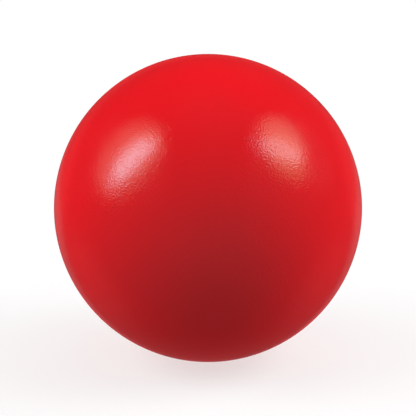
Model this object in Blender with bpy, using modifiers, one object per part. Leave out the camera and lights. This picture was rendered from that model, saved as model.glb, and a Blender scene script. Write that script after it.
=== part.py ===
"""Playground rubber ball, 216 mm across: an inflated, thread-wound rubber ball with a needle valve.

Run it with  blender --background --python part.py , or from Blender's text editor. Units are metres, +Z is up and
the origin is the ball's centre. The valve points along +Y. Every piece is turned about the valve's axis, which is
the local Z axis of the empties that the pieces hang from.
"""

import math

import bpy

# Driving dimensions
BALL_RADIUS = 0.108
COVER_WALL = 0.0012
WINDING_WALL = 0.0004
BLADDER_WALL = 0.0008
GAP = 0.0003

NECK_RADIUS = 0.0060
HOUSING_LENGTH = 0.0218
BARREL_END_RADIUS = 0.0052
BARREL_TAPER = 0.006
FLANGE_RADIUS = 0.015
FLANGE_RIM = 0.0008
BORE_RADIUS = 0.0036
MOUTH_RADIUS = 0.0049
MOUTH_CHAMFER = 0.0003

HEAD_THICKNESS = 0.0013
HEAD_RECESS = 0.00035
HEAD_CHAMFER = 0.00025
PLUG_LENGTH = 0.0200
NOSE_RADIUS = 0.0026
NOSE_TAPER = 0.004
FUNNEL_RADIUS = 0.0015
FUNNEL_DEPTH = 0.0012
NEEDLE_PASSAGE_RADIUS = 0.0006
POCKET_RADIUS = 0.0017
POCKET_DEPTH = 0.0065
CORE_LENGTH = 0.0120

PAD_RADIUS = 0.0110
RING_WIDTH = 0.0011
RING_DEPTH = 0.0004

VALVE_PATCH_HOLE = 0.010
VALVE_PATCH_RADIUS = 0.024
VALVE_PATCH_WALL = 0.0006
BALANCE_PATCH_RADIUS = 0.022
BALANCE_PATCH_EDGE = 0.0006

# How finely the pieces are turned: sides round the axis, and the latitudes, in degrees from the valve, at which
# the nested shells all have a ring of points, so that their facets stay parallel and the gaps between them even.
SIDES = 40
FINE_STEP = 6
COARSE_STEP = 9
FINE_END = 18
LATITUDES = (
    list(range(FINE_STEP, FINE_END, FINE_STEP))
    + list(range(FINE_END, 180 - FINE_END, COARSE_STEP))
    + list(range(180 - FINE_END, 180 + FINE_STEP, FINE_STEP))
)
DISH_STEPS = 4
MERGE_DISTANCE = 0.00001
SHARP_ANGLE = math.radians(35)
THICKNESS_TOLERANCE = 0.0000001

# Radii that follow
COVER_INSIDE = BALL_RADIUS - COVER_WALL
WINDING_OUTSIDE = COVER_INSIDE - GAP
WINDING_INSIDE = WINDING_OUTSIDE - WINDING_WALL
BLADDER_OUTSIDE = WINDING_INSIDE - GAP
BLADDER_INSIDE = BLADDER_OUTSIDE - BLADDER_WALL
BOND_RADIUS = BLADDER_INSIDE - GAP
NECK_HOLE = NECK_RADIUS + GAP


def height_on(radius, off_axis):
    """Height on a sphere of this radius at this distance from the axis."""
    return math.sqrt(radius**2 - off_axis**2)


def shell_arc(radius, from_off_axis):
    """Points (off axis, height) down a shell's surface, from a hole's edge at the valve to the far pole."""
    points = [(from_off_axis, height_on(radius, from_off_axis))]
    for latitude in LATITUDES:
        angle = math.radians(latitude)
        off_axis = radius * math.sin(angle)
        if latitude < 90 and off_axis <= from_off_axis:
            continue
        points.append((0.0 if latitude == 180 else off_axis, radius * math.cos(angle)))
    return points


def dished_arc(radius, from_off_axis, to_off_axis, side=1):
    """Points over a small cap of a sphere, on the valve's side, or on the far side with side -1."""
    step = (to_off_axis - from_off_axis) / DISH_STEPS
    radii = [from_off_axis + step * i for i in range(DISH_STEPS + 1)]
    return [(r, side * height_on(radius, r)) for r in radii]


# Profiles, as (distance from the axis, height along it) lists. Each runs down the piece's outer side.
def shell_profile(outside, inside):
    """A hollow shell with one hole, for the valve's neck. It is open on the axis at the far pole."""
    return shell_arc(inside, NECK_HOLE)[::-1] + shell_arc(outside, NECK_HOLE)


def cover_profile():
    """The cover's shell, with a moulded ring groove round the smooth pad that the valve sits in."""
    ring_middle = PAD_RADIUS + RING_WIDTH / 2
    groove = [
        (NECK_HOLE, height_on(BALL_RADIUS, NECK_HOLE)),
        (PAD_RADIUS, height_on(BALL_RADIUS, PAD_RADIUS)),
        (ring_middle, height_on(BALL_RADIUS, ring_middle) - RING_DEPTH),
    ]
    return shell_arc(COVER_INSIDE, NECK_HOLE)[::-1] + groove + shell_arc(BALL_RADIUS, PAD_RADIUS + RING_WIDTH)


RIM_HEIGHT = height_on(BALL_RADIUS, NECK_RADIUS)
HEAD_TOP = RIM_HEIGHT - HEAD_RECESS
HEAD_UNDERSIDE = HEAD_TOP - HEAD_THICKNESS
PLUG_END = HEAD_TOP - PLUG_LENGTH
POCKET_TOP = HEAD_TOP - POCKET_DEPTH
FLANGE_BACK = height_on(BOND_RADIUS, FLANGE_RADIUS) - FLANGE_RIM


def housing_profile():
    """The valve's housing: a neck out through the layers, a dished flange and a barrel, bored right through."""
    barrel_end = RIM_HEIGHT - HOUSING_LENGTH
    outer = [(NECK_RADIUS, RIM_HEIGHT)]
    outer += dished_arc(BOND_RADIUS, NECK_RADIUS, FLANGE_RADIUS)
    outer += [
        (FLANGE_RADIUS, FLANGE_BACK),
        (NECK_RADIUS, FLANGE_BACK),
        (NECK_RADIUS, barrel_end + BARREL_TAPER),
        (BARREL_END_RADIUS, barrel_end),
    ]
    seat = HEAD_UNDERSIDE - GAP
    inner = [
        (BORE_RADIUS, barrel_end),
        (BORE_RADIUS, seat),
        (MOUTH_RADIUS, seat),
        (MOUTH_RADIUS, RIM_HEIGHT - MOUTH_CHAMFER),
        (MOUTH_RADIUS + MOUTH_CHAMFER, RIM_HEIGHT),
    ]
    return outer + inner


def plug_profile():
    """The plug: a flat head, a tapered shank, a funnel for the needle and a pocket open at the nose."""
    shank = BORE_RADIUS - GAP
    head = MOUTH_RADIUS - GAP
    return [
        (head - HEAD_CHAMFER, HEAD_TOP),
        (head, HEAD_TOP - HEAD_CHAMFER),
        (head, HEAD_UNDERSIDE),
        (shank, HEAD_UNDERSIDE),
        (shank, PLUG_END + NOSE_TAPER),
        (NOSE_RADIUS, PLUG_END),
        (POCKET_RADIUS, PLUG_END),
        (POCKET_RADIUS, POCKET_TOP),
        (NEEDLE_PASSAGE_RADIUS, POCKET_TOP),
        (NEEDLE_PASSAGE_RADIUS, HEAD_TOP - FUNNEL_DEPTH),
        (FUNNEL_RADIUS, HEAD_TOP),
    ]


def core_profile():
    """The soft core that closes behind a needle. Its slit is shut, so it is a solid rod."""
    radius = POCKET_RADIUS - GAP
    top = POCKET_TOP - GAP
    return [(0.0, top), (radius, top), (radius, top - CORE_LENGTH), (0.0, top - CORE_LENGTH)]


def valve_patch_profile():
    """A reinforcing washer that laps the flange's rim and grips the bladder all round it."""
    step = FLANGE_RADIUS + GAP
    front = FLANGE_BACK - GAP
    back = front - VALVE_PATCH_WALL
    inside = BOND_RADIUS - VALVE_PATCH_WALL
    corner = step + 2 * VALVE_PATCH_WALL
    lap = [(VALVE_PATCH_HOLE, back), (VALVE_PATCH_HOLE, front), (step, front)]
    outer = dished_arc(BOND_RADIUS, step, VALVE_PATCH_RADIUS)
    inner = dished_arc(inside, corner, VALVE_PATCH_RADIUS)[::-1]
    return lap + outer + inner + [(step + VALVE_PATCH_WALL, back)]


def balance_patch_profile(thickness):
    """A dished disc at the far pole, bevelled to a thin rim. It is open on the axis."""
    bevel = BALANCE_PATCH_RADIUS - (thickness - BALANCE_PATCH_EDGE)
    inner = dished_arc(BOND_RADIUS - thickness, 0.0, bevel, side=-1)
    rim = [(BALANCE_PATCH_RADIUS, BALANCE_PATCH_EDGE - height_on(BOND_RADIUS, BALANCE_PATCH_RADIUS))]
    outer = dished_arc(BOND_RADIUS, BALANCE_PATCH_RADIUS, 0.0, side=-1)
    return inner + rim + outer


def moment(profile):
    """First moment of a turned solid about the ball's centre plane: its volume times its mean height.

    The integral of 2 pi r z over the profile's area is taken round its edge by Green's theorem.
    """
    total = 0.0
    for (r1, z1), (r2, z2) in zip(profile, profile[1:] + profile[:1], strict=True):
        total += (r1 * z2 - r2 * z1) * (2 * r1 * z1 + r1 * z2 + r2 * z1 + 2 * r2 * z2)
    return -2 * math.pi * total / 24


def balancing_thickness(profiles):
    """How thick the balance patch is for the ball's centre of mass to lie at its centre, found by bisection."""
    surplus = sum(moment(profile) for profile in profiles)
    thin, thick = BALANCE_PATCH_EDGE, BALANCE_PATCH_RADIUS / 2
    while thick - thin > THICKNESS_TOLERANCE:
        middle = (thin + thick) / 2
        if surplus + moment(balance_patch_profile(middle)) > 0:
            thin = middle
        else:
            thick = middle
    return thin


def rubber(name, colour, roughness):
    """A non-metallic material with one colour and roughness."""
    material = bpy.data.materials.new(name)
    material.use_nodes = True
    shader = material.node_tree.nodes["Principled BSDF"]
    shader.inputs["Base Color"].default_value = (*colour, 1.0)
    shader.inputs["Roughness"].default_value = roughness
    shader.inputs["Metallic"].default_value = 0.0
    return material


def turned(name, profile, material, parent, collection, origin=0.0):
    """A profile turned about the parent's Z axis. A profile that starts on the axis is left open there."""
    outline = bpy.data.meshes.new(name + "_outline")
    points = [(off_axis, 0.0, height - origin) for off_axis, height in profile]
    edges = [(i, i + 1) for i in range(len(points) - 1)]
    if profile[0][0] > 0:
        edges.append((len(points) - 1, 0))
    outline.from_pydata(points, edges, [])
    outline.materials.append(material)
    piece = bpy.data.objects.new(name, outline)
    collection.objects.link(piece)
    piece.parent = parent
    screw = piece.modifiers.new("turn", "SCREW")
    screw.axis = "Z"
    screw.steps = screw.render_steps = SIDES
    screw.use_merge_vertices = True
    screw.merge_threshold = MERGE_DISTANCE
    solid = bpy.data.meshes.new_from_object(piece.evaluated_get(bpy.context.evaluated_depsgraph_get()))
    solid.name = name
    solid.shade_smooth()
    solid.set_sharp_from_angle(angle=SHARP_ANGLE)
    piece.modifiers.clear()
    piece.data = solid
    bpy.data.meshes.remove(outline)
    return piece


def main():
    for old in list(bpy.data.objects):
        bpy.data.objects.remove(old)
    collection = bpy.data.collections.new("playground_rubber_ball")
    bpy.context.scene.collection.children.link(collection)

    ball = bpy.data.objects.new("ball_axis", None)
    ball.rotation_euler = (-math.pi / 2, 0.0, 0.0)
    collection.objects.link(ball)
    plug_axis = bpy.data.objects.new("plug_axis", None)
    plug_axis.location = (0.0, 0.0, HEAD_TOP)
    plug_axis.parent = ball
    collection.objects.link(plug_axis)

    fixed = {
        "outer_cover": (cover_profile(), rubber("cover_rubber", (0.84, 0.008, 0.014), 0.20)),
        "thread_winding": (
            shell_profile(WINDING_OUTSIDE, WINDING_INSIDE),
            rubber("winding_yarn", (0.76, 0.72, 0.62), 0.75),
        ),
        "bladder": (
            shell_profile(BLADDER_OUTSIDE, BLADDER_INSIDE),
            rubber("bladder_rubber", (0.020, 0.020, 0.022), 0.50),
        ),
        "valve_housing": (housing_profile(), rubber("housing_rubber", (0.62, 0.010, 0.014), 0.40)),
        "valve_patch": (valve_patch_profile(), rubber("patch_rubber", (0.035, 0.034, 0.034), 0.65)),
    }
    moving = {
        "valve_plug": (plug_profile(), rubber("plug_rubber", (0.028, 0.028, 0.030), 0.38)),
        "sealing_core": (core_profile(), rubber("core_rubber", (0.55, 0.36, 0.16), 0.45)),
    }
    for name, (profile, material) in fixed.items():
        turned(name, profile, material, ball, collection)
    for name, (profile, material) in moving.items():
        turned(name, profile, material, plug_axis, collection, origin=HEAD_TOP)

    profiles = [profile for profile, _ in [*fixed.values(), *moving.values()]]
    patch = balance_patch_profile(balancing_thickness(profiles))
    turned("balance_patch", patch, rubber("balance_rubber", (0.035, 0.034, 0.034), 0.65), ball, collection)


main()
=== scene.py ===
"""Looks of the playground rubber ball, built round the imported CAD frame.

Metres, +Z up. The valve points along +Y.
"""

import math

import bmesh
import bpy
from mathutils import Matrix, Vector


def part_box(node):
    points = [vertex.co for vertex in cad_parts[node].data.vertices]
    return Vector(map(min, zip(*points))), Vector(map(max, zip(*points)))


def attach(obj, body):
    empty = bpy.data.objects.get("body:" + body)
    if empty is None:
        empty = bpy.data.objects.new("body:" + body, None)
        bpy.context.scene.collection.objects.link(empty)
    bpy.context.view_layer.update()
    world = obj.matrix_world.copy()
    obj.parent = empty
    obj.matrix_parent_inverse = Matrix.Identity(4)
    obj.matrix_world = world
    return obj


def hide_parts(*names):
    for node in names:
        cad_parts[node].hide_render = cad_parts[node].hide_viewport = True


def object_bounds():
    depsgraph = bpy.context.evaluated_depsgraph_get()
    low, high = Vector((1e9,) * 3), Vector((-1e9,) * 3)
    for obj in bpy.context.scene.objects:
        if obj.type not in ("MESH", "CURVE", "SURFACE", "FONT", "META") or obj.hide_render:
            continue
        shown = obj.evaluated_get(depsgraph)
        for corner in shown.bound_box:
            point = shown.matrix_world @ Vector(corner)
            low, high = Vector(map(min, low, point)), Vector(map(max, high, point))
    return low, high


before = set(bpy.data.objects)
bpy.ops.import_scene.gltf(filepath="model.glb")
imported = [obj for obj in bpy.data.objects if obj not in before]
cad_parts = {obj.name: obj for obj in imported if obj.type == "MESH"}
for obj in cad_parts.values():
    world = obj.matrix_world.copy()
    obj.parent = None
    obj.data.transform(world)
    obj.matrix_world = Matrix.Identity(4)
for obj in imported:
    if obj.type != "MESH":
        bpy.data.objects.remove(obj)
CAD_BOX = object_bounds()

# Layers: their outsides are read from the frame, and the gap and the walls are set here
GAP = 0.0003
BALL_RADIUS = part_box("outer_cover")[1].x
WINDING_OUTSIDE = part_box("thread_winding")[1].x
COVER_INSIDE = WINDING_OUTSIDE + GAP
WINDING_WALL = 0.0004
WINDING_INSIDE = WINDING_OUTSIDE - WINDING_WALL
BLADDER_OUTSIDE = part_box("bladder")[1].x
BLADDER_WALL = 0.0008
BLADDER_INSIDE = BLADDER_OUTSIDE - BLADDER_WALL
BOND_RADIUS = BLADDER_INSIDE - GAP

# Valve: the ends and the largest radius of each of its parts are read from the frame
RIM_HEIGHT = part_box("valve_housing")[1].y
BARREL_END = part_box("valve_housing")[0].y
FLANGE_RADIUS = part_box("valve_housing")[1].x
HEAD_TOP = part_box("valve_plug")[1].y
PLUG_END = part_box("valve_plug")[0].y
HEAD_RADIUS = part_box("valve_plug")[1].x
CORE_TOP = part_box("sealing_core")[1].y
CORE_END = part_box("sealing_core")[0].y
CORE_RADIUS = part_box("sealing_core")[1].x
NECK_RADIUS = 0.0060
NECK_HOLE = NECK_RADIUS + GAP
BORE_RADIUS = 0.0036
SHANK_RADIUS = BORE_RADIUS - GAP
MOUTH_RADIUS = HEAD_RADIUS + GAP
HEAD_UNDERSIDE = HEAD_TOP - 0.0013
BARREL_END_RADIUS = 0.0052
BARREL_TAPER = 0.006
FLANGE_RIM = 0.0008
NOSE_RADIUS = 0.0026
NOSE_TAPER = 0.004
FUNNEL_RADIUS = 0.0015
FUNNEL_DEPTH = 0.0012
PASSAGE_RADIUS = 0.0006
POCKET_RADIUS = CORE_RADIUS + GAP
POCKET_TOP = CORE_TOP + GAP

# Patches inside the bladder
VALVE_PATCH_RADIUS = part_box("valve_patch")[1].x
VALVE_PATCH_HOLE = 0.010
VALVE_PATCH_WALL = 0.0006
BALANCE_PATCH_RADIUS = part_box("balance_patch")[1].x
BALANCE_PATCH_EDGE = 0.0006

# Cover relief: the smooth pad, the moulded ring round it and the mould's parting line
PAD_RADIUS = 0.0110
RING_WIDTH = 0.0011
RING_DEPTH = 0.0004
PARTING_HEIGHT = 0.00003
PARTING_HALF_WIDTH = 0.00035

# Cover finish: its grain in lumps a metre, the grain's depth, and the range of its roughness
GRAIN_SCALE = 1000
GRAIN_DEPTH = 0.00011
GLOSS = (0.10, 0.12)

# Cover gloss: a low index whose face-on reflection is doubled. That keeps highlights bright
# and makes the skin less mirror-like toward its edge. A red sheen keeps that edge from going dark and grey.
COVER_INDEX = 1.4
COVER_FACE_ON = 2.0
COVER_SHEEN = 0.8
COVER_SHEEN_SPREAD = 0.25

# Yarn: turns wound in great circles, each laid down as one flat ridge of several threads, and how near the
# valve's axis the middle of one may pass, as a multiple of the hole's radius
TURNS = 240
TURN_WIDTH = 0.0009
TURN_HEIGHT = 0.00025
TURN_STEPS = 96
VALVE_CLEARANCE = 1.2
GOLDEN_ANGLE = math.pi * (3 - math.sqrt(5))

# How finely pieces are meshed: quads along a quarter of the cover's equator, and sides of the other pieces
QUARTER = 80
SIDES = 4 * QUARTER
SMALL_SIDES = 96
WELD = 0.000001
SHARP_ANGLE = math.radians(40)

# Camera: its lens and sensor in millimetres, its angle, and the share of the frame's half width that the
# ball fills
CAMERA_LENS = 100.0
SENSOR = 36.0
CAMERA_ELEVATION = math.radians(12)
BALL_SHARE = 0.741
TOWARD_CAMERA = Vector((0.0, -math.cos(CAMERA_ELEVATION), math.sin(CAMERA_ELEVATION)))
CAMERA_UP = Vector((0.0, math.sin(CAMERA_ELEVATION), math.cos(CAMERA_ELEVATION)))

# Floor: how far it reaches, the distances from its centre between which its matt white turns to a plain
# glow, and how much of it glows already close to the ball
FLOOR_RADIUS = 6.0
FLOOR_MATT = 0.12
FLOOR_GLOWING = 0.40
FLOOR_GLOW = 0.65

# The room's own light: how much falls on the ball, and how bright a room its gloss mirrors. That brightness
# runs from behind to in front, times a factor that runs from below to above, plus a little straight in front.
AMBIENT = 0.27
MIRRORED_FRONT = 0.12
MIRRORED_BEHIND = 0.06
MIRRORED_ABOVE = 0.45
MIRRORED_BELOW = 1.4
MIRRORED_CLOSE = 0.045

# Lights: how far they stand from the ball, and the width in degrees of the frosted panels
LIGHT_DISTANCE = 1.5
PANEL_WIDTH = 40


def height_on(radius, off_axis):
    """Height on a sphere of this radius at this distance from the axis."""
    return math.sqrt(radius**2 - off_axis**2)


# ---------------------------------------------------------------- profiles
# A profile is a list of (distance off the valve's axis, height along it).


def arc_down(radius, start, end, count):
    """Points on a sphere between two latitudes, in radians from the valve."""
    angles = [start + (end - start) * i / count for i in range(count + 1)]
    return [(radius * math.sin(a), radius * math.cos(a)) for a in angles]


def cap(radius, from_off_axis, to_off_axis, count=8, side=1):
    """Points over a small cap of a sphere, on the valve's side, or on the far side with side -1."""
    radii = [from_off_axis + (to_off_axis - from_off_axis) * i / count for i in range(count + 1)]
    return [(r, side * height_on(radius, r)) for r in radii]


def rounded(corners, steps=4):
    """A closed profile with arcs at its corners.

    A corner is (off axis, height) or (off axis, height, arc radius).
    """
    points = []
    for i, corner in enumerate(corners):
        if len(corner) == 2:
            points.append(corner)
            continue
        here = Vector(corner[:2])
        before = (Vector(corners[i - 1][:2]) - here).normalized()
        after = (Vector(corners[(i + 1) % len(corners)][:2]) - here).normalized()
        half = before.angle(after) / 2
        start = here + before * corner[2] / math.tan(half)
        end = here + after * corner[2] / math.tan(half)
        centre = here + (before + after).normalized() * corner[2] / math.sin(half)
        first = (start - centre).normalized()
        last = (end - centre).normalized()
        points += [tuple(centre + first.slerp(last, k / steps) * corner[2]) for k in range(steps + 1)]
    return points


def middle_ridge(radius, height, half_width):
    """Points over a low ridge round a shell's middle."""
    shares = [i / 3 for i in range(-3, 4)]
    lifts = [height * (0.5 + 0.5 * math.cos(math.pi * share)) for share in shares]
    return [(height_on(radius, s * half_width) + lift, -s * half_width) for s, lift in zip(shares, lifts)]


def shell_profile(outside, inside, lip, ridge=()):
    """A hollow shell with a rounded lip round the valve's hole. It meets the axis at the far pole."""
    outer = arc_down(outside, math.asin((NECK_HOLE + lip) / outside), math.pi, 96)
    inner = arc_down(inside, math.asin((NECK_HOLE + lip) / inside), math.pi, 96)
    middle = (outer[0][1] + inner[0][1]) / 2
    half_wall = (outer[0][1] - inner[0][1]) / 2
    turn = [math.pi * i / 6 for i in range(1, 6)]
    edge = [(NECK_HOLE + lip * (1 - math.sin(t)), middle - half_wall * math.cos(t)) for t in turn]
    outer[-1] = (0.0, -outside)
    inner[-1] = (0.0, -inside)
    plain = [point for point in outer if not ridge or abs(point[1]) > ridge[0][1]]
    return inner[::-1] + edge + sorted([*plain, *ridge], key=lambda point: -point[1])


# ---------------------------------------------------------------- meshes


def add_turned(bm, profile, sides, closed=False):
    """Adds the surface that a profile sweeps round the Y axis. Points on the axis make fans."""
    rings = []
    for off_axis, height in profile:
        if off_axis < WELD:
            rings.append([bm.verts.new((0.0, height, 0.0))])
            continue
        turn = [2 * math.pi * k / sides for k in range(sides)]
        rings.append([bm.verts.new((off_axis * math.cos(t), height, off_axis * math.sin(t))) for t in turn])
    pairs = list(zip(rings, rings[1:]))
    if closed:
        pairs.append((rings[-1], rings[0]))
    for above, below in pairs:
        for k in range(sides):
            j = (k + 1) % sides
            upper = [above[k % len(above)], above[j % len(above)]]
            lower = [below[j % len(below)], below[k % len(below)]]
            bm.faces.new(list(dict.fromkeys(upper + lower)))


def new_piece(name, bm, weld=True):
    """Makes an object of a bmesh, facing out and shaded smooth but for its sharp edges."""
    if weld:
        bmesh.ops.remove_doubles(bm, verts=bm.verts, dist=WELD)
    bmesh.ops.recalc_face_normals(bm, faces=bm.faces)
    mesh = bpy.data.meshes.new(name)
    bm.to_mesh(mesh)
    bm.free()
    mesh.shade_smooth()
    mesh.set_sharp_from_angle(angle=SHARP_ANGLE)
    piece = bpy.data.objects.new(name, mesh)
    bpy.context.scene.collection.objects.link(piece)
    return piece


def turned_piece(name, profile, closed=True):
    bm = bmesh.new()
    add_turned(bm, profile, SMALL_SIDES, closed)
    return new_piece(name, bm)


# ---------------------------------------------------------------- the cover


def add_front_half(bm, radius):
    """The half of the ball that faces -Y, in even quads: a subdivided cube pushed out to the sphere."""
    cube = bmesh.new()
    bmesh.ops.create_cube(cube, size=2.0)
    bmesh.ops.subdivide_edges(cube, edges=cube.edges, cuts=QUARTER - 1, use_grid_fill=True)
    for v in cube.verts:
        v.co = Vector([math.tan(c * math.pi / 4) for c in v.co]).normalized() * radius
    behind = [v for v in cube.verts if v.co.y > WELD]
    bmesh.ops.delete(cube, geom=behind, context="VERTS")
    half = bpy.data.meshes.new("front_half")
    cube.to_mesh(half)
    cube.free()
    bm.from_mesh(half)
    bpy.data.meshes.remove(half)


def pad_profile():
    """Hole's rounded lip, smooth pad and moulded ring groove, down to where the plain skin starts."""
    lip = 0.0004
    rim = height_on(BALL_RADIUS, NECK_HOLE + lip)
    points = []
    for i in range(5):
        a = math.pi / 2 * i / 4
        points.append((NECK_HOLE + lip * (1 - math.cos(a)), rim - lip * (1 - math.sin(a))))
    points += cap(BALL_RADIUS, NECK_HOLE + lip, PAD_RADIUS, 4)[1:]
    steps = 16
    for i in range(1, steps + 1):
        share = i / steps
        r = PAD_RADIUS + RING_WIDTH * share
        dip = RING_DEPTH * (0.5 - 0.5 * math.cos(2 * math.pi * share)) ** 0.8
        points.append((r, height_on(BALL_RADIUS, r) - dip))
    return points


def raise_parting_line(bm):
    """A faint ridge round the ball where the mould's two halves met.

    The outermost cuts, at twice its half width, keep its slope out of the shading of the skin beside it.
    """
    across = (0.0, 1.0, 0.0)
    for share in (-2.0, -1.0, -0.5, 0.5, 1.0, 2.0):
        geometry = bm.verts[:] + bm.edges[:] + bm.faces[:]
        plane = (0.0, share * PARTING_HALF_WIDTH, 0.0)
        bmesh.ops.bisect_plane(bm, geom=geometry, plane_co=plane, plane_no=across, dist=WELD)
    for v in bm.verts:
        share = abs(v.co.y) / PARTING_HALF_WIDTH
        if share < 0.99 and v.co.length > BALL_RADIUS - GAP:
            v.co += v.co.normalized() * PARTING_HEIGHT * (0.5 + 0.5 * math.cos(math.pi * share))


def make_cover():
    bm = bmesh.new()
    add_front_half(bm, BALL_RADIUS)
    pad = pad_profile()
    skin = arc_down(BALL_RADIUS, math.asin(pad[-1][0] / BALL_RADIUS), math.pi / 2, 66)
    inside = arc_down(COVER_INSIDE, math.asin(NECK_HOLE / COVER_INSIDE), math.pi, 60)
    inside[-1] = (0.0, -COVER_INSIDE)
    add_turned(bm, inside[::-1] + pad + skin[1:], SIDES)
    bmesh.ops.remove_doubles(bm, verts=bm.verts, dist=WELD)
    raise_parting_line(bm)
    return new_piece("ball_cover", bm)


# ---------------------------------------------------------------- winding and bladder


def add_turn(bm, uv, normal, radius):
    """One turn of yarn, in the great circle across this normal: a low closed ridge, with U along it."""
    a = normal.orthogonal().normalized()
    b = normal.cross(a)
    sections = []
    for i in range(TURN_STEPS):
        t = 2 * math.pi * i / TURN_STEPS
        out = a * math.cos(t) + b * math.sin(t)
        side = normal * TURN_WIDTH / 2
        ridge = [out * radius - side, out * (radius + TURN_HEIGHT), out * radius + side]
        sections.append([bm.verts.new(point) for point in ridge])
    for i in range(TURN_STEPS):
        here, there = sections[i], sections[(i + 1) % TURN_STEPS]
        for k in range(3):
            j = (k + 1) % 3
            face = bm.faces.new((here[k], there[k], there[j], here[j]))
            for loop, along, across in zip(face.loops, (i, i + 1, i + 1, i), (k, k, k + 1, k + 1)):
                loop[uv].uv = (along / TURN_STEPS, across / 3)


def make_winding():
    """Turns of yarn over a thin skin of latex. They keep clear of the valve, as a winding machine does."""
    bm = bmesh.new()
    uv = bm.loops.layers.uv.new("yarn")
    add_turned(bm, shell_profile(WINDING_INSIDE + WINDING_WALL / 2, WINDING_INSIDE, 0.0001), SMALL_SIDES)
    for face in bm.faces:
        face.material_index = 1
    lowest = VALVE_CLEARANCE * NECK_HOLE / WINDING_OUTSIDE
    for k in range(TURNS):
        along_valve = lowest + (1 - lowest) * (k + 0.5) / TURNS
        around = k * GOLDEN_ANGLE
        flat = height_on(1.0, along_valve)
        normal = Vector((flat * math.cos(around), along_valve, flat * math.sin(around)))
        add_turn(bm, uv, normal, WINDING_OUTSIDE - TURN_HEIGHT)
    return new_piece("yarn_winding", bm, weld=False)


def make_bladder():
    """The black bladder, with the flash line that its own mould leaves round its middle."""
    flash_height = 0.00012
    flash_half_width = 0.0006
    lip = 0.0004
    flash = middle_ridge(BLADDER_OUTSIDE, flash_height, flash_half_width)
    profile = shell_profile(BLADDER_OUTSIDE, BLADDER_INSIDE, lip, flash)
    return turned_piece("air_bladder", profile, closed=False)


# ---------------------------------------------------------------- valve


def make_housing():
    """Neck, dished flange with gluing grooves, and barrel. The mouth is recessed for the plug's head."""
    seat = HEAD_UNDERSIDE - GAP
    flange_back = height_on(BOND_RADIUS, FLANGE_RADIUS) - FLANGE_RIM
    front = [(NECK_RADIUS, height_on(BOND_RADIUS, NECK_RADIUS), 0.0002)]
    groove = 0.00015
    groove_radii = (0.0085, 0.0105, 0.0125)
    for r in groove_radii:
        front.append((r, height_on(BOND_RADIUS, r)))
        front.append((r + 0.0002, height_on(BOND_RADIUS, r) - groove))
        front.append((r + 0.0005, height_on(BOND_RADIUS, r) - groove))
        front.append((r + 0.0007, height_on(BOND_RADIUS, r + 0.0007)))
    corners = [(NECK_RADIUS, RIM_HEIGHT, 0.0003)] + front
    corners += [
        (FLANGE_RADIUS, height_on(BOND_RADIUS, FLANGE_RADIUS), 0.0003),
        (FLANGE_RADIUS, flange_back, 0.0003),
        (NECK_RADIUS, flange_back, 0.0010),
        (NECK_RADIUS, BARREL_END + BARREL_TAPER, 0.0030),
        (BARREL_END_RADIUS, BARREL_END, 0.0005),
        (BORE_RADIUS, BARREL_END, 0.0003),
        (BORE_RADIUS, seat, 0.0002),
        (MOUTH_RADIUS, seat, 0.0002),
        (MOUTH_RADIUS, RIM_HEIGHT, 0.0003),
    ]
    return turned_piece("valve_seat", rounded(corners))


def make_plug():
    """Flat head with a funnel for the needle, grooved shank, blunt nose and the pocket for the core."""
    bead = 0.00012
    groove = 0.0002
    groove_width = 0.0010
    first_groove = 0.0030
    groove_pitch = 0.0026
    corners = [
        (HEAD_RADIUS, HEAD_TOP, 0.0004),
        (HEAD_RADIUS, HEAD_UNDERSIDE, 0.00015),
        (SHANK_RADIUS, HEAD_UNDERSIDE, 0.0002),
    ]
    for k in range(3):
        y = HEAD_UNDERSIDE - first_groove - groove_pitch * k
        corners += [
            (SHANK_RADIUS, y, 0.0001),
            (SHANK_RADIUS - groove, y - groove, 0.0001),
            (SHANK_RADIUS - groove, y - groove_width, 0.0001),
            (SHANK_RADIUS, y - groove_width - groove, 0.0001),
        ]
    corners += [
        (SHANK_RADIUS, PLUG_END + NOSE_TAPER, 0.0020),
        (NOSE_RADIUS, PLUG_END, 0.0003),
        (POCKET_RADIUS, PLUG_END, 0.0002),
        (POCKET_RADIUS, POCKET_TOP, 0.0003),
        (PASSAGE_RADIUS, POCKET_TOP, 0.0001),
        (PASSAGE_RADIUS, HEAD_TOP - FUNNEL_DEPTH, 0.0004),
        (FUNNEL_RADIUS, HEAD_TOP, 0.0002),
        (FUNNEL_RADIUS + 0.0003, HEAD_TOP, 0.0001),
        (FUNNEL_RADIUS + 0.0005, HEAD_TOP + bead, 0.0001),
        (FUNNEL_RADIUS + 0.0007, HEAD_TOP + bead, 0.0001),
        (FUNNEL_RADIUS + 0.0009, HEAD_TOP, 0.0001),
    ]
    return turned_piece("needle_plug", rounded(corners))


def make_core():
    """A gum rod whose slit, shut here, shows as a crease across both ends."""
    bend = 0.0003
    half_slit = 0.0001
    crease = 0.0003
    edge = CORE_RADIUS - bend
    turn = [math.pi / 2 * i / 4 for i in range(5)]
    profile = [(0.0, CORE_TOP)]
    profile += [(edge + bend * math.sin(t), CORE_TOP - bend * (1 - math.cos(t))) for t in turn]
    profile += [(edge + bend * math.cos(t), CORE_END + bend * (1 - math.sin(t))) for t in turn]
    profile += [(0.0, CORE_END)]
    bm = bmesh.new()
    add_turned(bm, profile, SMALL_SIDES)
    across = (1.0, 0.0, 0.0)
    for x in (-half_slit, 0.0, half_slit):
        geometry = bm.verts[:] + bm.edges[:] + bm.faces[:]
        plane = (x, 0.0, 0.0)
        bmesh.ops.bisect_plane(bm, geom=geometry, plane_co=plane, plane_no=across, dist=WELD)
    middle = (CORE_TOP + CORE_END) / 2
    for v in bm.verts:
        at_end = abs(v.co.y - middle) > (CORE_TOP - CORE_END) / 2 - 2 * WELD
        if at_end and abs(v.co.x) < WELD:
            v.co.y -= math.copysign(crease, v.co.y - middle)
    return new_piece("plug_core", bm)


# ---------------------------------------------------------------- patches


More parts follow.
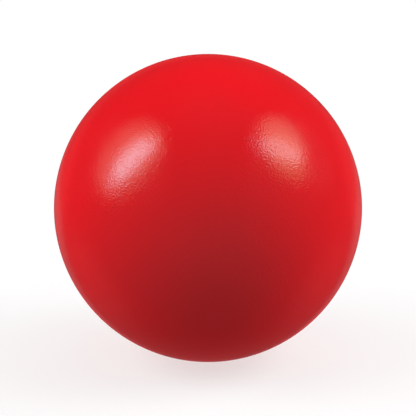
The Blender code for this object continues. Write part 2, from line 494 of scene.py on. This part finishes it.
def make_valve_patch():
    """Washer that laps the flange's rim and the bladder, feathered at its outer edge."""
    step = FLANGE_RADIUS + GAP
    front = height_on(BOND_RADIUS, FLANGE_RADIUS) - FLANGE_RIM - GAP
    back = front - VALVE_PATCH_WALL
    inside = BOND_RADIUS - VALVE_PATCH_WALL
    corner = step + 2 * VALVE_PATCH_WALL
    feather = VALVE_PATCH_RADIUS - 0.0020
    edge = height_on(BOND_RADIUS, VALVE_PATCH_RADIUS) - 0.0002
    corners = [(VALVE_PATCH_HOLE, back, 0.0002), (VALVE_PATCH_HOLE, front, 0.0002), (step, front, 0.0002)]
    corners += cap(BOND_RADIUS, step, VALVE_PATCH_RADIUS)
    corners += [(VALVE_PATCH_RADIUS, edge)]
    corners += cap(inside, corner, feather)[::-1]
    corners += [(step + VALVE_PATCH_WALL, back, 0.0003)]
    return turned_piece("seat_patch", rounded(corners))


def make_balance_patch():
    """Dished disc built up from three plies of sheet rubber, each smaller than the one under it."""
    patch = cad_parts["balance_patch"].data.vertices
    thickness = BOND_RADIUS - min(v.co.length for v in patch)
    bend = 0.0002
    plies = [thickness, (thickness + BALANCE_PATCH_EDGE) / 2, BALANCE_PATCH_EDGE]
    corners = [(0.0, thickness - BOND_RADIUS)]
    for ply in plies:
        inner = BOND_RADIUS - ply
        edge = BALANCE_PATCH_RADIUS - (ply - BALANCE_PATCH_EDGE)
        first = corners[-1][0]
        steps = [first + (edge - first) * i / 8 for i in range(1, 8)]
        if first > 0:
            corners.append((first, -height_on(inner, first)))
        corners += [(r, -height_on(inner, r)) for r in steps]
        corners.append((edge, -height_on(inner, edge), bend))
    corners += cap(BOND_RADIUS, BALANCE_PATCH_RADIUS, 0.0, 16, side=-1)
    return turned_piece("counter_patch", rounded(corners), closed=False)


# ---------------------------------------------------------------- materials


class Nodes:
    """Short names for building the node tree of a material or a world."""

    def __init__(self, owner, place="Object"):
        owner.use_nodes = True
        self.owner = owner
        self.tree = owner.node_tree
        self.place = self.add("ShaderNodeTexCoord").outputs[place]

    def add(self, kind, inputs=None, **settings):
        node = self.tree.nodes.new(kind)
        for key, value in settings.items():
            setattr(node, key, value)
        for key, value in (inputs or {}).items():
            self.put(value, node.inputs[key])
        return node

    def put(self, value, socket):
        if isinstance(value, bpy.types.NodeSocket):
            self.tree.links.new(value, socket)
        else:
            socket.default_value = value

    def noise(self, scale, detail=2.0):
        node = self.add("ShaderNodeTexNoise", {"Vector": self.place, "Scale": scale, "Detail": detail})
        return node.outputs["Fac"]

    def math(self, operation, *values):
        return self.add("ShaderNodeMath", dict(enumerate(values)), operation=operation).outputs[0]

    def vector_math(self, operation, *values):
        node = self.add("ShaderNodeVectorMath", dict(enumerate(values)), operation=operation)
        return node.outputs["Value"]

    def span(self, value, low, high, to_low=0.0, to_high=1.0):
        """Maps low..high smoothly to to_low..to_high."""
        ends = {"Value": value, "From Min": low, "From Max": high, "To Min": to_low, "To Max": to_high}
        return self.add("ShaderNodeMapRange", ends, interpolation_type="SMOOTHSTEP").outputs["Result"]

    def mix(self, factor, first, second):
        node = self.add("ShaderNodeMix", {"Factor": factor, 6: first, 7: second}, data_type="RGBA")
        return node.outputs[2]

    def bump(self, height, distance):
        return self.add("ShaderNodeBump", {"Height": height, "Distance": distance}).outputs["Normal"]

    def set(self, **sockets):
        """Sets the Principled BSDF's sockets by name, with _ for a space, and returns the material."""
        for key, value in sockets.items():
            self.put(value, self.tree.nodes["Principled BSDF"].inputs[key.replace("_", " ")])
        return self.owner


def material_nodes(name):
    return Nodes(bpy.data.materials.new(name))


def colour(r, g, b):
    return (r, g, b, 1.0)


def cover_material():
    """Semi-gloss red rubber with a very fine even grain. The smooth pad round the valve has no grain."""
    n = material_nodes("cover_rubber_look")
    off_pad = n.vector_math("DISTANCE", n.place, (0.0, BALL_RADIUS, 0.0))
    grained = n.span(off_pad, PAD_RADIUS, PAD_RADIUS + RING_WIDTH)
    grain = n.math("MULTIPLY", n.noise(GRAIN_SCALE, 0.0), grained)
    tone = n.span(n.noise(9, 3.0), 0.35, 0.65)
    return n.set(
        Base_Color=n.mix(tone, colour(0.86, 0.0080, 0.0138), colour(0.82, 0.0092, 0.0150)),
        Roughness=n.span(n.noise(60, 4.0), 0.3, 0.7, GLOSS[0], GLOSS[1]),
        IOR=COVER_INDEX,
        Specular_Tint=colour(COVER_FACE_ON, COVER_FACE_ON, COVER_FACE_ON),
        Sheen_Weight=COVER_SHEEN,
        Sheen_Roughness=COVER_SHEEN_SPREAD,
        Sheen_Tint=colour(1.0, 0.02, 0.03),
        Normal=n.bump(grain, GRAIN_DEPTH),
    )


def housing_material():
    """The same red rubber, smooth from a polished mould and a little darker."""
    n = material_nodes("housing_rubber_look")
    return n.set(
        Base_Color=n.mix(n.noise(150, 3.0), colour(0.66, 0.0090, 0.0130), colour(0.56, 0.0110, 0.0160)),
        Roughness=n.span(n.noise(400, 3.0), 0.3, 0.7, 0.24, 0.36),
        Normal=n.bump(n.noise(2500), 0.00002),
    )


def plug_material():
    """Black rubber with a trace of bloom on it."""
    n = material_nodes("plug_rubber_look")
    bloom = n.span(n.noise(500, 5.0), 0.45, 0.75)
    return n.set(
        Base_Color=n.mix(bloom, colour(0.022, 0.022, 0.024), colour(0.048, 0.047, 0.046)),
        Roughness=n.span(n.noise(900, 3.0), 0.3, 0.7, 0.30, 0.46),
        Normal=n.bump(n.noise(3000), 0.000015),
    )


def core_material():
    """Amber gum rubber, which lets a little light in."""
    n = material_nodes("core_rubber_look")
    return n.set(
        Base_Color=n.mix(n.noise(900, 4.0), colour(0.60, 0.41, 0.19), colour(0.48, 0.30, 0.12)),
        Roughness=n.span(n.noise(1500), 0.3, 0.7, 0.28, 0.42),
        Subsurface_Weight=0.2,
        Subsurface_Scale=0.001,
        Normal=n.bump(n.noise(4000), 0.00001),
    )


def bladder_material():
    """Black butyl rubber with the dull patches that mould powder leaves."""
    n = material_nodes("bladder_rubber_look")
    powder = n.span(n.noise(22, 6.0), 0.45, 0.75)
    return n.set(
        Base_Color=n.mix(powder, colour(0.017, 0.017, 0.019), colour(0.075, 0.073, 0.070)),
        Roughness=n.span(powder, 0.0, 1.0, 0.40, 0.68),
        Normal=n.bump(n.noise(900, 3.0), 0.00006),
    )


def patch_material():
    """Matt sheet rubber, printed with the weave of the cloth that it was cured on."""
    n = material_nodes("patch_rubber_look")
    across = n.add("ShaderNodeSeparateXYZ", {"Vector": n.place}).outputs
    weave_pitch = 0.0009
    threads = 2 * math.pi / weave_pitch
    warp = n.math("SINE", n.math("MULTIPLY", across["X"], threads))
    weft = n.math("SINE", n.math("MULTIPLY", across["Z"], threads))
    weave = n.math("MULTIPLY_ADD", warp, weft, n.noise(700, 3.0))
    return n.set(
        Base_Color=n.mix(n.noise(120, 5.0), colour(0.028, 0.027, 0.027), colour(0.052, 0.050, 0.049)),
        Roughness=n.span(n.noise(300, 4.0), 0.3, 0.7, 0.58, 0.76),
        Normal=n.bump(weave, 0.00004),
    )


def yarn_material():
    """Cotton yarn: its plies twist round it, with painted shade in the grooves between them, and its turns
    differ a little in colour.
    """
    n = material_nodes("winding_yarn_look")
    twists = 440
    map_along = n.add("ShaderNodeUVMap", uv_map="yarn").outputs[0]
    along = n.add("ShaderNodeSeparateXYZ", {"Vector": map_along}).outputs
    turn = n.math("MULTIPLY_ADD", along["X"], twists, n.math("MULTIPLY", along["Y"], 3.0))
    ply = n.math("SINE", n.math("MULTIPLY", turn, 2 * math.pi))
    lot = n.add("ShaderNodeNewGeometry").outputs["Random Per Island"]
    yarn_tone = n.mix(lot, colour(0.82, 0.78, 0.68), colour(0.70, 0.65, 0.54))
    return n.set(
        # Darker where the plies' twist dips: painted shade in the grooves between plies, over the yarn's own
        # tone
        Base_Color=n.mix(n.span(ply, -1.0, 0.4), colour(0.50, 0.44, 0.34), yarn_tone),
        Roughness=n.span(n.noise(500, 4.0), 0.3, 0.7, 0.72, 0.88),
        Sheen_Weight=0.2,
        Normal=n.bump(ply, 0.00006),
    )


def latex_material():
    """The dried latex that holds the winding."""
    n = material_nodes("winding_latex_look")
    return n.set(
        Base_Color=n.mix(n.noise(80, 5.0), colour(0.74, 0.64, 0.44), colour(0.62, 0.50, 0.31)),
        Roughness=n.span(n.noise(250, 4.0), 0.3, 0.7, 0.34, 0.52),
        Normal=n.bump(n.noise(350, 4.0), 0.00008),
    )


# ---------------------------------------------------------------- stage, camera and light


def floor_material():
    """Matt white round the ball, where its soft shadow falls, and plain glowing white further out."""
    n = material_nodes("floor_white")
    white = n.set(Base_Color=colour(0.92, 0.92, 0.92), Roughness=0.9, Specular_IOR_Level=0.0)
    away = n.vector_math("LENGTH", n.place)
    shader = n.tree.nodes["Principled BSDF"].outputs[0]
    glow = n.add("ShaderNodeEmission", {"Strength": 1.0}).outputs[0]
    share = n.span(away, FLOOR_MATT, FLOOR_GLOWING, FLOOR_GLOW, 1.0)
    mixed = n.add("ShaderNodeMixShader", {0: share, 1: shader, 2: glow})
    n.put(mixed.outputs[0], n.tree.nodes["Material Output"].inputs["Surface"])
    return white


def make_floor():
    """A white floor that shows the ball's shadow.

    It throws no light back on the ball. The low lights stand for that.
    """
    bm = bmesh.new()
    bmesh.ops.create_circle(bm, cap_ends=True, segments=96, radius=FLOOR_RADIUS)
    floor = new_piece("floor", bm)
    floor.location.z = CAD_BOX[0].z
    floor.data.materials.append(floor_material())
    floor.visible_glossy = False
    floor.visible_diffuse = False
    floor.visible_shadow = False


def make_camera():
    half = math.atan(SENSOR / 2 / CAMERA_LENS)
    distance = BALL_RADIUS / math.sin(math.atan(BALL_SHARE * math.tan(half)))
    data = bpy.data.cameras.new("camera")
    data.lens = CAMERA_LENS
    data.sensor_width = SENSOR
    data.clip_start = 0.01
    camera = bpy.data.objects.new("camera", data)
    bpy.context.scene.collection.objects.link(camera)
    camera.rotation_mode = "QUATERNION"
    camera.rotation_quaternion = (-TOWARD_CAMERA).to_track_quat("-Z", "Y")
    camera.location = TOWARD_CAMERA * distance
    bpy.context.scene.camera = camera
    return camera


def softbox(camera, name, azimuth, elevation, width, height, radiance, tilt=0, red=1, blue=1, glossy=True):
    """An oval area light aimed at the ball.

    Its angles, in degrees, are seen from the ball, with the camera at 0, 0. Red and blue are times its green.
    A glossy light is only mirrored, and the others only light what isn't glossy.
    """
    a, e = math.radians(azimuth), math.radians(elevation)
    across = Vector((math.cos(a), 0.0, -math.sin(a)))
    toward = Vector((math.cos(e) * math.sin(a), math.sin(e), math.cos(e) * math.cos(a)))
    aim = Matrix((across, toward.cross(across), toward)).transposed()
    data = bpy.data.lights.new(name, "AREA")
    data.shape = "ELLIPSE"
    data.size = 2 * LIGHT_DISTANCE * math.tan(math.radians(width / 2))
    data.size_y = 2 * LIGHT_DISTANCE * math.tan(math.radians(height / 2))
    data.energy = radiance * math.pi * data.size * data.size_y * math.pi / 4
    data.color = (red, 1.0, blue)
    light = bpy.data.objects.new(name, data)
    bpy.context.scene.collection.objects.link(light)
    turn = camera.rotation_quaternion.to_matrix()
    rotation = turn @ aim @ Matrix.Rotation(math.radians(tilt), 3, "Z")
    light.matrix_world = Matrix.Translation(turn @ toward * LIGHT_DISTANCE) @ rotation.to_4x4()
    light.visible_camera = False
    light.visible_glossy = glossy
    light.visible_diffuse = not glossy


def panel(camera, name, azimuth, elevation, radiance):
    """A wide frosted panel, which lights the ball and isn't mirrored."""
    softbox(camera, name, azimuth, elevation, PANEL_WIDTH, PANEL_WIDTH, radiance, glossy=False)


def make_world():
    """White to the camera, even light on the ball, and a dim room for its gloss to mirror, darkest behind."""
    world = bpy.data.worlds.new("studio")
    bpy.context.scene.world = world
    n = Nodes(world, "Generated")
    path = n.add("ShaderNodeLightPath").outputs
    ahead = n.vector_math("DOT_PRODUCT", n.place, TOWARD_CAMERA)
    up = n.vector_math("DOT_PRODUCT", n.place, CAMERA_UP)
    room = n.span(ahead, -0.5, 0.6, MIRRORED_BEHIND, MIRRORED_FRONT)
    fade = n.span(up, -0.8, 0.8, MIRRORED_BELOW, MIRRORED_ABOVE)
    close = n.span(ahead, 0.5, 0.9, 0.0, MIRRORED_CLOSE)
    mirrored = n.math("MULTIPLY_ADD", room, fade, close)
    ends = {"Factor": path["Is Glossy Ray"], 2: AMBIENT, 3: mirrored}
    soft = n.add("ShaderNodeMix", ends, data_type="FLOAT")
    strength = n.math("MAXIMUM", path["Is Camera Ray"], soft.outputs[0])
    background = n.tree.nodes["Background"]
    n.put(colour(1.0, 1.0, 1.0), background.inputs["Color"])
    n.put(strength, background.inputs["Strength"])


def make_light(camera):
    """What the ball mirrors to each side and behind it, then the panels that light it.

    The mirrored lights' tints are bluish in the middle of each highlight and warm round it,
    with a red one behind the ball for its bright edge.
    """
    softbox(camera, "left_core", -62, 29.5, 13, 36, 3.4, tilt=-34, red=0.25, blue=1.3)
    softbox(camera, "left_inner", -65, 28, 18, 40, 1.15, tilt=-28, blue=1.2)
    softbox(camera, "left_outer", -60, 33, 25, 36, 0.7, tilt=-28, blue=0.45)
    softbox(camera, "left_glow", -68, 30, 44, 50, 0.7, tilt=-28, blue=0.72)
    softbox(camera, "right_core", 62, 36, 12, 34, 1.7, tilt=62, red=0.5, blue=1.35)
    softbox(camera, "right_inner", 69, 40, 32, 30, 1.35, tilt=30, blue=0.7)
    softbox(camera, "right_outer", 65, 31, 26, 32, 0.9, tilt=30, blue=0.47)
    softbox(camera, "backdrop", 180, -6, 90, 36, 0.11)
    softbox(camera, "warm_backdrop", 180, 11, 112, 46, 0.03, red=12.0)
    softbox(camera, "left_warm", -60, 20, 60, 50, 0.03, red=12.0)
    softbox(camera, "right_warm", 60, 20, 60, 50, 0.03, red=12.0)

    panel(camera, "left_key", -60, 30, 3.4)
    panel(camera, "left_fill", -90, 30, 2.5)
    panel(camera, "left_low", -120, -30, 2.4)
    panel(camera, "right_key", 65, 35, 2.85)
    panel(camera, "right_fill", 90, 30, 3.6)
    panel(camera, "right_low", 120, -30, 2.6)
    panel(camera, "right_back", 150, 50, 0.6)
    panel(camera, "top_fill", 0, 70, 0.6)


def add_piece(piece, body, node, slot, *materials):
    """Gives a piece its materials and its body, and hides the CAD node that it stands for. The slot is not
    used.
    """
    for material in materials:
        piece.data.materials.append(material)
    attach(piece, body)
    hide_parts(node)


patch_rubber = patch_material()
add_piece(make_cover(), "ball", "outer_cover", "cover_rubber", cover_material())
add_piece(make_winding(), "ball", "thread_winding", "winding_yarn", yarn_material(), latex_material())
add_piece(make_bladder(), "ball", "bladder", "bladder_rubber", bladder_material())
add_piece(make_housing(), "ball", "valve_housing", "housing_rubber", housing_material())
add_piece(make_valve_patch(), "ball", "valve_patch", "patch_rubber", patch_rubber)
add_piece(make_balance_patch(), "ball", "balance_patch", "patch_rubber", patch_rubber)
add_piece(make_plug(), "plug", "valve_plug", "plug_rubber", plug_material())
add_piece(make_core(), "plug", "sealing_core", "core_rubber", core_material())

make_floor()
camera = make_camera()
make_world()
make_light(camera)
bpy.context.scene.view_settings.view_transform = "Standard"
